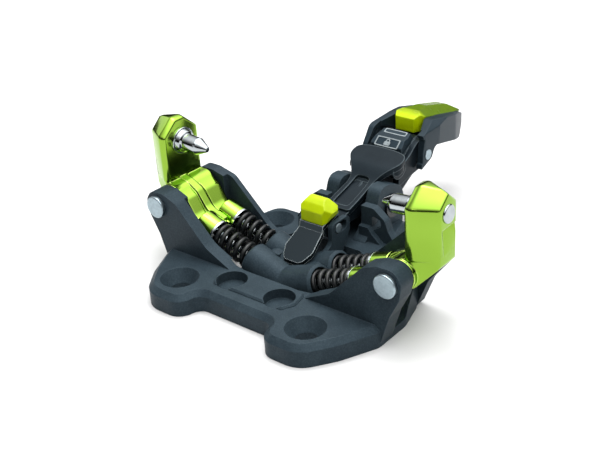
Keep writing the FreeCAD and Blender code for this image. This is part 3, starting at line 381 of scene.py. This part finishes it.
def anodised():
    finish = Finish("lime_anodised", metallic=1.0)
    grain = finish.noise(700, 3, stretch=(1, 1, 0.12))
    cloud = finish.noise(60, 2)
    rim = finish.edges(JAW_EDGE * MM)
    deep = finish.mix((0.235, 0.40, 0.042), (0.28, 0.465, 0.055), cloud.between(0.3, 0.7))
    finish.set(
        # Painted highlight: the edges go pale yellow-lime.
        base_color=finish.mix(deep, (0.74, 0.90, 0.26), rim * 0.6),
        roughness=grain.between(0.2, 0.8, 0.12, 0.2),
        normal=finish.bump(grain, 0.0006 * MM, finish.rounding(JAW_EDGE * MM)),
    )
    return finish


lime_anodised = anodised()
right_jaw = copy_node("jaw_right", "machined_jaw_right")
slice_off(right_jaw, at(40, 0, JAW_SEAM), at(41, 0, JAW_SEAM), at(40, 1, JAW_SEAM), at(40, 0, 10))
combine(right_jaw, jaw_plate(), "UNION")
combine(right_jaw, jaw_scoop(), "DIFFERENCE")
left_jaw = bpy.data.objects.new("machined_jaw_left", right_jaw.data.copy())
bpy.context.scene.collection.objects.link(left_jaw)
edit(left_jaw)
bpy.ops.transform.resize(value=(-1, 1, 1), center_override=(0, 0, 0))
bpy.ops.mesh.normals_make_consistent(inside=False)
bpy.ops.object.mode_set(mode="OBJECT")
for side, jaw in (("right", right_jaw), ("left", left_jaw)):
    soften(jaw, 28)
    lime_anodised.paint(jaw)
    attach(jaw, nodes[f"jaw_{side}"]["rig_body"])
    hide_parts(f"jaw_{side}")


# --- Lever and its cover ------------------------------------------------------------------------------------------
# The lever's upper side is one spoon-shaped cover, cast with the lever: a wide bare plate at the nose that runs down
# over a neck into the bar, which has a trough with a rounded end. Bosses and webs stand under both of its sides.
COVER_RISE = (
    (17.0, 13.5), (20.6, 14.35), (26.0, 15.85), (29.5, 16.85), (32.0, 17.75), (33.8, 18.9),
    (35.6, 20.3), (37.6, 21.5), (40.0, 22.35), (43.0, 23.3), (46.0, 24.2),
)
COVER_OUTLINE = (
    (1.6, 21.1), (3.9, 21.1), (4.0, 22.6), (3.95, 27), (3.75, 31), (4.0, 33.2), (5.4, 35.4),
    (7.2, 37.3), (8.5, 39.2), (8.5, 41.6), (7.6, 42.9), (5.6, 43.5), (2.5, 43.9),
)
TROUGH_OUTLINE = ((1.4, 22.5), (2.5, 22.7), (2.6, 24.4), (2.5, 28), (2.4, 33.1), (1.6, 33.8))
BOSS_OUTLINE = (
    (38.2, 18.0), (39.6, 17.2), (41.6, 17.4), (43.4, 18.6), (43.6, 20.6), (43.2, 22.4), (40, 21.6),
    (37.6, 20.8), (37.2, 19.4),
)
BOSS_SIDES = (4.6, 7.5)
WEB_OUTLINE = (
    (40.9, 14.4), (40.9, 14.4), (44.5, 15.2), (49, 15.9), (52.3, 16.1), (55.5, 17.4), (56.8, 20.6),
    (55.4, 23.7), (52.3, 25.1), (49, 23.9), (47, 22.2), (44.4, 21.0), (40.9, 19.6), (40.9, 19.6),
)
WEB_SIDES = (4.7, 6.9)
ROOM_HALF = 12

# Heights over or under the rise: the cover's two sides, the bed cut for it, and the floor of its trough.
COVER_OVER = 0.15
COVER_THICK = 1.5
COVER_BED = 0.5
TROUGH_DEEP = 0.85

# Turns an outline's two axes to y and z, and its thickness to x.
SIDEWAYS = Matrix(((0, 0, 1, 0), (1, 0, 0, 0), (0, 1, 0, 0), (0, 0, 0, 1)))


def outline_piece(name, outlines, half, place, steps):
    """A flat piece from closed outlines in millimetres, rounded between their points, with half its thickness."""
    drawn = bpy.data.curves.new(name, "CURVE")
    drawn.dimensions = "2D"
    drawn.fill_mode = "BOTH"
    drawn.extrude = half * MM
    drawn.resolution_u = steps
    for points in outlines:
        line = drawn.splines.new("NURBS")
        line.points.add(len(points) - 1)
        for point, (x, y) in zip(line.points, points):
            point.co = (x * MM, y * MM, 0, 1)
        line.order_u = 3
        line.use_cyclic_u = True
    piece = bpy.data.objects.new(name, drawn)
    bpy.context.scene.collection.objects.link(piece)
    piece.matrix_world = place
    pick(piece)
    bpy.ops.object.convert(target="MESH")
    bpy.ops.object.transform_apply(location=True, rotation=True, scale=True)
    edit(piece)
    bpy.ops.mesh.remove_doubles(threshold=0.001 * MM)
    bpy.ops.mesh.normals_make_consistent(inside=False)
    bpy.ops.object.mode_set(mode="OBJECT")
    return piece


def outline_solid(name, points, low, high, turn=Matrix.Identity(4)):
    """A solid from one closed outline that reaches from low to high."""
    lift = Matrix.Translation((0, 0, (low + high) / 2 * MM))
    return outline_piece(name, (points,), (high - low) / 2, turn @ lift, 6)


def both_sides(points):
    """A half outline and its mirror image."""
    return list(points) + [(-x, y) for x, y in reversed(points)]


def cover_layer(name, over, under):
    """The part of the room over the lever between two heights measured from the rise."""
    upper = [(y, z + over) for y, z in COVER_RISE]
    lower = [(y, z + under) for y, z in reversed(COVER_RISE)]
    outline = upper[:1] + upper + upper[-1:] + lower[:1] + lower + lower[-1:]
    return outline_solid(name, outline, -ROOM_HALF, ROOM_HALF, SIDEWAYS)


lever = copy_node("lever_arm", "cast_lever")
combine(lever, cover_layer("lever_clearance", 9, -COVER_BED), "DIFFERENCE")
for sign in (-1, 1):
    for name, outline, sides in (("plate_boss", BOSS_OUTLINE, BOSS_SIDES), ("nose_web", WEB_OUTLINE, WEB_SIDES)):
        low, high = sorted(sign * side for side in sides)
        combine(lever, outline_solid(name, outline, low, high, SIDEWAYS), "UNION")
cover = outline_solid("lever_cover", both_sides(COVER_OUTLINE), 10, 30)
combine(cover, cover_layer("cover_slab", COVER_OVER, -COVER_THICK), "INTERSECT")
trough = outline_solid("cover_trough", both_sides(TROUGH_OUTLINE), 10, 30)
combine(trough, cover_layer("trough_room", 3, -TROUGH_DEEP), "INTERSECT")
combine(cover, trough, "DIFFERENCE")
for piece in (lever, cover):
    soften(piece, 32)
    lever_coat.paint(piece)
    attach(piece, nodes["lever_arm"]["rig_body"])
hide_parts("lever_arm")


# --- Steel: toe pins, pivot pins, washers and rods ----------------------------------------------------------------
# The pins, washers and rods are turned from steel bar. The toe pins are polished and the washers and rods are bright,
# while the heads of the pivot pins and the other cross pins are left satin.
def steel(name, colour, low, high, scale, radius):
    finish = Finish(name, metallic=1.0)
    wear_and_sheen = finish.noise(scale, 3)
    finish.set(
        base_color=finish.mix(colour, tuple(c * 0.8 for c in colour), wear_and_sheen.between(0.4, 0.8)),
        roughness=wear_and_sheen.between(0.2, 0.8, low, high),
        normal=finish.bump(wear_and_sheen, 0.002 * MM, finish.rounding(radius)),
    )
    return finish


bright_steel = steel("bright_steel", (0.46, 0.5, 0.52), 0.07, 0.14, 700, 0.12 * MM)
satin_steel = steel("satin_steel", (0.34, 0.42, 0.46), 0.28, 0.4, 1200, 0.2 * MM)
for side in ("left", "right"):
    bright_steel.on(f"toe_pin_{side}")
    satin_steel.on(f"jaw_pivot_pin_{side}")
    for end in ("rear", "front"):
        bright_steel.on(f"cup_washer_{side}_{end}", f"spring_rod_{side}_{end}")
satin_steel.on("lift_pin", "tower_pin", "handle_pin", "boot_stop_screw")


# --- Springs and retaining rings ----------------------------------------------------------------------------------
# Each spring is wound from round wire with a closed turn at both ends and blackened in oil. It stands on its washer
# and reaches into the block's socket.
SPRING_TILT = math.radians(19.5)
SPRING_LENGTH = 15.4
WASHER_HALF = 0.3
WIRE = 1.35
COIL = 2.925
TURNS = 6.6
STEPS = 20


def blackened():
    finish = Finish("black_spring", metallic=0.0, ior=1.6, specular_ior_level=0.3)
    drawn = finish.noise(900, 3)
    finish.set(
        base_color=finish.mix((0.0025, 0.0033, 0.0038), (0.007, 0.009, 0.0095), drawn.between(0.35, 0.75)),
        roughness=drawn.between(0.2, 0.8, 0.26, 0.4),
        normal=finish.bump(drawn, 0.002 * MM, finish.rounding(0.1 * MM)),
    )
    return finish


def wind_spring(name, seat, along):
    """A closed and ground compression spring from the middle of its seat, along a direction, as a mesh."""
    wire = bpy.data.curves.new(name, "CURVE")
    wire.dimensions = "3D"
    wire.bevel_depth = WIRE / 2 * MM
    wire.bevel_resolution = 3
    wire.use_fill_caps = True
    line = wire.splines.new("POLY")
    count = int(TURNS * STEPS)
    line.points.add(count)
    closed = WIRE * 1.03
    middle = (SPRING_LENGTH - WIRE - 2 * closed) / (TURNS - 2)
    for step in range(count + 1):
        turn = TURNS * step / count
        rise = closed * min(turn, 1) + middle * min(max(turn - 1, 0), TURNS - 2) + closed * max(turn - (TURNS - 1), 0)
        angle = 2 * math.pi * turn
        line.points[step].co = (COIL * math.cos(angle) * MM, COIL * math.sin(angle) * MM, (WIRE / 2 + rise) * MM, 1)
    spring = bpy.data.objects.new(name, wire)
    bpy.context.scene.collection.objects.link(spring)
    spring.matrix_world = Matrix.Translation(seat) @ along.to_track_quat("Z", "Y").to_matrix().to_4x4()
    pick(spring)
    bpy.ops.object.convert(target="MESH")
    bpy.ops.object.transform_apply(location=True, rotation=True, scale=True)
    bpy.ops.object.shade_smooth_by_angle(angle=math.radians(50))
    return spring


black_spring = blackened()
for side, sign in (("left", -1), ("right", 1)):
    inward = Vector((-sign * math.cos(SPRING_TILT), 0, -math.sin(SPRING_TILT)))
    for end in ("rear", "front"):
        low, high = (Vector(corner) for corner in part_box(f"cup_washer_{side}_{end}"))
        middle = (low + high) / 2
        spring = wind_spring(f"wound_spring_{side}_{end}", middle + inward * WASHER_HALF * MM, inward)
        black_spring.paint(spring)
        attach(spring, nodes[f"jaw_spring_{side}_{end}"]["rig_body"])
        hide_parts(f"jaw_spring_{side}_{end}")
        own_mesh(spring)
    black_spring.on(f"pivot_clip_{side}")
black_spring.on("tower_clips")


# --- Tongue -------------------------------------------------------------------------------------------------------
# The tongue is a hardened strip, bent and lacquered black, with a painted highlight in pale grey along its edges. The
# boot stop's screw holds it on the lever.
def lacquer():
    finish = Finish("black_lacquer", metallic=0.0, specular_ior_level=0.34, specular_tint=(0.62, 0.85, 1.0))
    rim = finish.edges(0.45 * MM)
    smear = finish.noise(220, 3)
    finish.set(
        # Painted highlight: the edges go pale grey.
        base_color=finish.mix((0.003, 0.0045, 0.0055), (0.5, 0.56, 0.58), rim * 0.8),
        roughness=smear.between(0.3, 0.8, 0.05, 0.1),
        normal=finish.rounding(0.2 * MM),
    )
    return finish


lacquer().on("tongue_plate")


# --- Boot stop and handle insert ----------------------------------------------------------------------------------
# Both are moulded from lime plastic that lets a little light in, and their corners wear smooth. The boot stop has a
# slanted facet on each side. The insert is bright at its heel end and painted darker beyond, as painted shade on its
# top.
STOP_FACET = ((5.35, 17.2), (2.3, 21.1))
STOP_GRID = 0.16
STOP_WEAR = 14


def lime_plastic(name, colour, depth, gloss, roughness, radius, painted_shade_colour=None, painted_shade_span=(0, 1)):
    """Lime plastic, which may be painted darker between two places along the ski, as painted shade."""
    finish = Finish(
        name,
        specular_ior_level=gloss,
        subsurface_weight=0.2,
        subsurface_radius=(1.0, 1.0, 0.25),
        subsurface_scale=depth,
    )
    dapple = finish.noise(350, 2)
    if painted_shade_colour:
        along = finish.node("ShaderNodeSeparateXYZ", {}, {"Vector": finish.place}, output="Y")
        # Painted shade: the colour goes darker between the two places.
        colour = finish.mix(colour, painted_shade_colour, along.between(*painted_shade_span))
    finish.set(
        base_color=finish.mix(colour, finish.mix((0, 0, 0), colour, 0.86), dapple.between(0.35, 0.75)),
        roughness=dapple.between(0.2, 0.8, roughness - 0.05, roughness + 0.07),
        normal=finish.bump(dapple, 0.01 * MM, finish.rounding(radius)),
    )
    return finish


stop_plastic = lime_plastic("stop_plastic", (0.42, 0.54, 0.0), 1.2 * MM, 0.25, 0.34, 0.3 * MM)
insert_plastic = lime_plastic(
    "insert_plastic",
    (0.44, 0.58, 0.001),
    2.0 * MM,
    0.14,
    0.24,
    0.5 * MM,
    # Painted shade on the insert's top, beyond its bright heel end.
    painted_shade_colour=(0.085, 0.145, 0.004),
    painted_shade_span=(55.4 * MM, 58.4 * MM),
)
insert_plastic.on("handle_insert")
stop = copy_node("boot_stop", "moulded_stop")
for sign in (-1, 1):
    low, high = (Vector((sign * x, 10, z)) * MM for x, z in STOP_FACET)
    slice_off(stop, low, high, low + Vector((0, 1, 0.1)) * MM, Vector((0, 13, 17)) * MM)
stop.data.remesh_voxel_size = STOP_GRID * MM
bpy.ops.object.voxel_remesh()
smooth = stop.modifiers.new("worn", "SMOOTH")
smooth.factor = 0.5
smooth.iterations = STOP_WEAR
bpy.ops.object.modifier_apply(modifier=smooth.name)
soften(stop, 60)
stop_plastic.paint(stop)
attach(stop, nodes["boot_stop"]["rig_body"])
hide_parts("boot_stop")


# --- Handle, moulded block and bushes -----------------------------------------------------------------------------
# The handle is moulded in dark grey nylon with a satin skin, and the block on the lever's nose in the same nylon. On
# the heel side of the handle's pin, the right cheek is cut back and the left cheek's window is closed.
RELIEF_OUTLINE = (
    (44, 15), (44, 15), (44, 33), (44, 33), (47.2, 29.4), (48.3, 28.2), (50.0, 26.9), (50.4, 25.4),
    (50.0, 22), (49.7, 19.6), (49.2, 17.8), (49, 15), (49, 15),
)
PAD_OUTLINE = (
    (46.0, 18.0), (46.0, 18.0), (46.0, 22.3), (49.0, 26.2), (50.9, 26.2), (50.9, 26.2), (50.5, 18.0), (50.5, 18.0),
)
PAD_SIDES = (-8.63, -7.43)


def nylon():
    finish = Finish("dark_nylon", ior=1.5, specular_ior_level=0.2, specular_tint=(0.55, 0.8, 1.0))
    skin = finish.noise(1800, 2)
    cloud = finish.noise(120, 3)
    rim = finish.edges(0.35 * MM)
    ground = finish.mix((0.009, 0.0155, 0.021), (0.016, 0.025, 0.032), cloud.between(0.3, 0.7))
    finish.set(
        # Painted highlight: the edges go a lighter grey.
        base_color=finish.mix(ground, (0.07, 0.09, 0.1), rim * 0.5),
        roughness=cloud.between(0.2, 0.8, 0.34, 0.44),
        normal=finish.bump(skin, 0.006 * MM, finish.rounding(0.35 * MM)),
    )
    return finish


dark_nylon = nylon()
dark_nylon.on("mode_block", "lever_bushes")
fork = copy_node("handle_fork", "moulded_fork")
combine(fork, outline_solid("fork_relief", RELIEF_OUTLINE, 6, 12, SIDEWAYS), "DIFFERENCE")
combine(fork, outline_solid("cheek_pad", PAD_OUTLINE, *PAD_SIDES, SIDEWAYS), "UNION")
soften(fork, 30)
dark_nylon.paint(fork)
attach(fork, nodes["handle_fork"]["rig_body"])
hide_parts("handle_fork")


# --- Windows of the moulded block ---------------------------------------------------------------------------------
# Two printed panels stand a hair proud of the block: the lower one has a plain padlock in a rounded frame, and the
# upper one a rounded frame that is left bare.
LOWER_WINDOW = (45.45, 24.8, 38)
UPPER_WINDOW = (49.75, 26.33, 23)
INK_HALF = 0.04
FRAME_CORNER = 0.18
PADLOCK_BOW = (
    (-0.65, 0.1), (-0.65, 0.7), (-0.4, 1.12), (0.4, 1.12), (0.65, 0.7), (0.65, 0.1), (0.36, 0.1),
    (0.36, 0.55), (0.2, 0.8), (-0.2, 0.8), (-0.36, 0.55), (-0.36, 0.1),
)


def printed(name, outlines, window, rise=0.0):
    """A thin printed sign from closed outlines, at a window's y and z and with its slope in degrees."""
    y, z, slope = window
    place = Matrix.Translation((0, y * MM, (z + rise) * MM)) @ Matrix.Rotation(math.radians(slope), 4, "X")
    return outline_piece(name, outlines, INK_HALF, place, 5)


def rounded_box(width, height, lift=0.0):
    """A rounded rectangle: two points a little inside each corner."""
    w, h = width / 2, height / 2
    corners = (
        (w, h, -1, 0), (w, h, 0, -1), (w, -h, 0, 1), (w, -h, -1, 0),
        (-w, -h, 1, 0), (-w, -h, 0, 1), (-w, h, 0, -1), (-w, h, 1, 0),
    )
    return [(x + dx * FRAME_CORNER, y + dy * FRAME_CORNER + lift) for x, y, dx, dy in corners]


print_ink = Finish("print_ink", roughness=0.5)
worn = print_ink.noise(1500, 3)
print_ink.set(base_color=print_ink.mix((0.2, 0.235, 0.25), (0.1, 0.12, 0.13), worn.between(0.5, 0.8)))
signs = (
    printed("padlock_window", (rounded_box(7.8, 3.1), rounded_box(7.1, 2.45)), LOWER_WINDOW),
    printed("padlock_body", (rounded_box(2.0, 1.25, -0.4),), LOWER_WINDOW, 0.02),
    printed("padlock_bow", (PADLOCK_BOW,), LOWER_WINDOW, 0.03),
    printed("bare_window", (rounded_box(7.4, 1.75), rounded_box(6.7, 1.1)), UPPER_WINDOW),
)
for sign in signs:
    print_ink.paint(sign)
    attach(sign, nodes["mode_block"]["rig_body"])


# --- Floor and light ----------------------------------------------------------------------------------------------
# A pale floor in a studio that is bright overhead and dark towards its left and heel sides. One softbox hangs above
# the piece, a small weak one stands on its heel side, and a wide one farther off to its left.
bpy.ops.object.select_all(action="DESELECT")
bpy.ops.mesh.primitive_plane_add(size=6, location=(0, 0, -0.02 * MM))
floor = bpy.context.object
floor.name = "floor"
floor_paint = Finish("floor_paint", base_color=(0.62, 0.62, 0.62), roughness=0.9)
floor_paint.paint(floor)

world = bpy.data.worlds.new("room")
bpy.context.scene.world = world
world.use_nodes = True
room = world.node_tree
direction = room.nodes.new("ShaderNodeTexCoord")
parts = room.nodes.new("ShaderNodeSeparateXYZ")
room.links.new(direction.outputs["Generated"], parts.inputs["Vector"])
shares = []
for axis, dark_at, bright_at, dark, bright in (
    ("Z", 0.28, 0.88, 0.02, 3.8),
    ("X", -0.65, -0.1, 0.3, 1.0),
    ("Y", -0.8, -0.3, 0.2, 1.0),
):
    share = room.nodes.new("ShaderNodeMapRange")
    for name, value in (("From Min", dark_at), ("From Max", bright_at), ("To Min", dark), ("To Max", bright)):
        share.inputs[name].default_value = value
    room.links.new(parts.outputs[axis], share.inputs["Value"])
    shares.append(share.outputs["Result"])
brightness = shares[0]
for share in shares[1:]:
    product = room.nodes.new("ShaderNodeMath")
    product.operation = "MULTIPLY"
    room.links.new(brightness, product.inputs[0])
    room.links.new(share, product.inputs[1])
    brightness = product.outputs[0]
sky = room.nodes["Background"]
sky.inputs["Color"].default_value = (1, 1, 1, 1)
room.links.new(brightness, sky.inputs["Strength"])


def softbox(name, place, size, power):
    """A square lamp at a place in metres that faces the piece."""
    lamp = bpy.data.objects.new(name, bpy.data.lights.new(name, "AREA"))
    lamp.data.size = size
    lamp.data.energy = power
    lamp.location = place
    lamp.rotation_mode = "QUATERNION"
    lamp.rotation_quaternion = (Vector(place) - CAMERA_AIM).to_track_quat("Z", "Y")
    bpy.context.scene.collection.objects.link(lamp)


softbox("overhead", (-0.12, 0.1, 0.6), 0.25, 1.7)
softbox("heel_side", (0.1, -0.6, 0.5), 0.12, 0.12)
softbox("left_side", (-0.85, 0.05, 0.38), 0.4, 0.7)
bpy.context.scene.view_settings.view_transform = "Standard"
